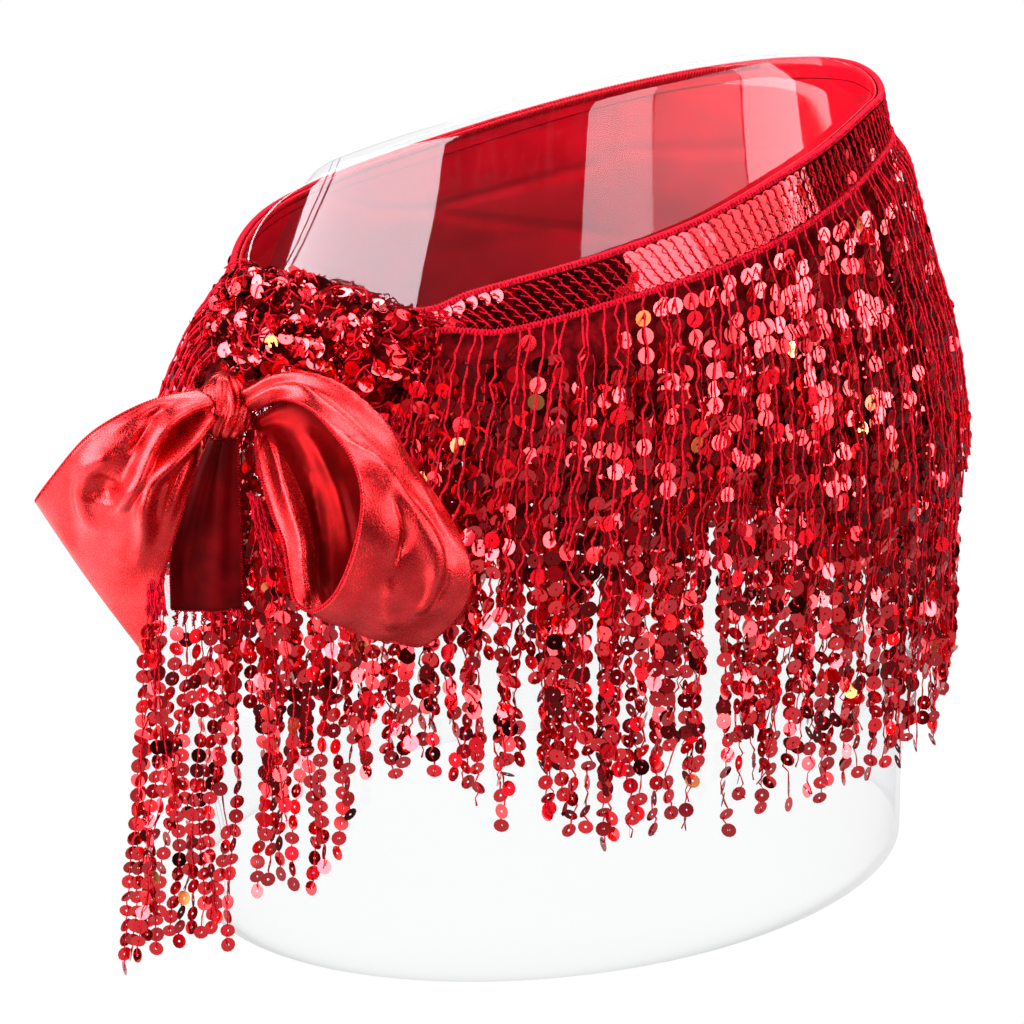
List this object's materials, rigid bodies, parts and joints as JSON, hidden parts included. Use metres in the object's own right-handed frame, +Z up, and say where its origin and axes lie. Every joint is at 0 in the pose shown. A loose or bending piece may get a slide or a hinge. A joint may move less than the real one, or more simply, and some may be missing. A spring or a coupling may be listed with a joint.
{
  "type": "belly dance hip scarf on a clear hip form",
  "caption": "Red sequinned belly dance hip scarf with rows of sequin fringe, tied at one hip under a metallic bow, on a clear open hip form.",
  "frame": {"origin": "centre of the bounding box at its base, which is the floor that the hip form stands on", "axes": "+Z up, -Y the front of the hips, +X the hip away from the bow, across the hips' width"},
  "size_m": [0.417, 0.2774, 0.3596],
  "materials": {
    "clear_form": "clear, glossy, slightly cool",
    "skirt_cloth": "red satin, soft sheen",
    "sequin_band": "flat metallic red sequins",
    "top_braid": "crimson braid, matte",
    "band_braid": "crimson braid, matte",
    "fringe_upper": "strung metallic red sequins",
    "fringe_middle": "strung metallic red sequins",
    "fringe_hem": "strung metallic red sequins",
    "gathered_end": "red satin, soft sheen",
    "end_fringe": "strung metallic red sequins",
    "scarf_knot": "knotted cloth covered in red sequins",
    "bow_knot": "metallic red cloth, gathered",
    "bow_loop_left": "metallic red cloth, crinkled",
    "bow_loop_right": "metallic red cloth, crinkled",
    "tail_panel": "metallic red cloth, crinkled",
    "tail_fringe": "strung metallic red sequins",
    "corner_tassel": "strung metallic red sequins"
  },
  "bodies": {
    "root": {"clear_form": "clear_form", "skirt_cloth": "skirt_cloth", "sequin_band": "sequin_band", "top_braid": "top_braid", "band_braid": "band_braid", "fringe_upper": "fringe_upper", "fringe_middle": "fringe_middle", "fringe_hem": "fringe_hem", "gathered_end": "gathered_end", "end_fringe": "end_fringe", "scarf_knot": "scarf_knot", "bow_knot": "bow_knot", "bow_loop_left": "bow_loop_left", "bow_loop_right": "bow_loop_right", "tail_panel": "tail_panel", "tail_fringe": "tail_fringe", "corner_tassel": "corner_tassel"}
  },
  "joints": []
}
